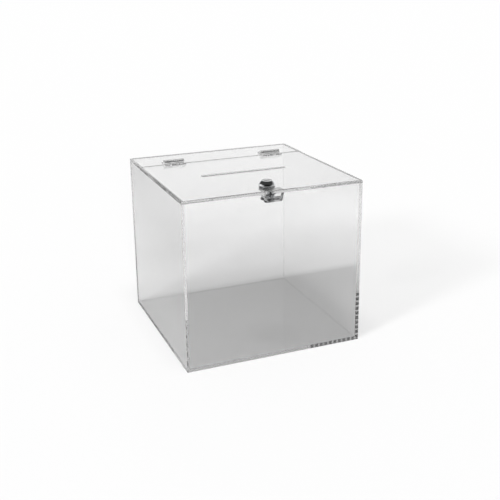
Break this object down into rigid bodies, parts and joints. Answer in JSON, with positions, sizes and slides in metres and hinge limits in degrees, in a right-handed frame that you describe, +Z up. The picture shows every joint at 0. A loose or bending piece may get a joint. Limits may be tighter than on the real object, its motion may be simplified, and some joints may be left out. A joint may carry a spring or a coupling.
{
  "type": "locking donation box",
  "caption": "Clear sheet donation box with a slotted lid on hinges, a cam lock through the lid and a catch block behind the front wall.",
  "frame": {"origin": "centre of the footprint, on the surface that the box stands on", "axes": "+X along the front to the right, +Y to the back, +Z up"},
  "size_m": [0.25, 0.25, 0.2362],
  "materials": {
    "acrylic": "clear cast acrylic sheet, polished faces and edges",
    "hinge_plastic": "clear moulded plastic",
    "pin_steel": "bright drawn wire",
    "lock_chrome": "bright chrome plate on die-cast zinc",
    "lock_zinc": "dull nickel plate",
    "lock_steel": "zinc plated steel",
    "wafer_brass": "stamped brass"
  },
  "bodies": {
    "box": {"bottom_panel": "acrylic", "front_panel": "acrylic", "back_panel": "acrylic", "left_panel": "acrylic", "right_panel": "acrylic", "rear_strip": "acrylic", "catch_block": "acrylic", "left_hinge_strip_leaf": "hinge_plastic", "right_hinge_strip_leaf": "hinge_plastic", "left_hinge_pin": "pin_steel", "right_hinge_pin": "pin_steel"},
    "lid": {"lid": "acrylic", "left_hinge_lid_leaf": "hinge_plastic", "right_hinge_lid_leaf": "hinge_plastic", "lock_housing": "lock_chrome", "lock_washer": "lock_steel", "lock_nut": "lock_zinc"},
    "lock_rotor": {"lock_plug": "lock_chrome", "lock_wafers": "wafer_brass", "lock_wafer_springs": "lock_steel", "lock_cam": "lock_steel", "cam_spring_washer": "lock_steel", "cam_screw": "lock_steel"}
  },
  "joints": [
    {"name": "lid_hinge", "type": "hinge", "parent": "box", "child": "lid", "pos_m": [0, 0.0675, 0.2332], "axis": [-1, 0, 0], "range_deg": [0, 180]},
    {"name": "lock_turn", "type": "hinge", "parent": "lid", "child": "lock_rotor", "pos_m": [0, -0.096, 0.214], "axis": [0, 0, -1], "range_deg": [0, 90]}
  ]
}
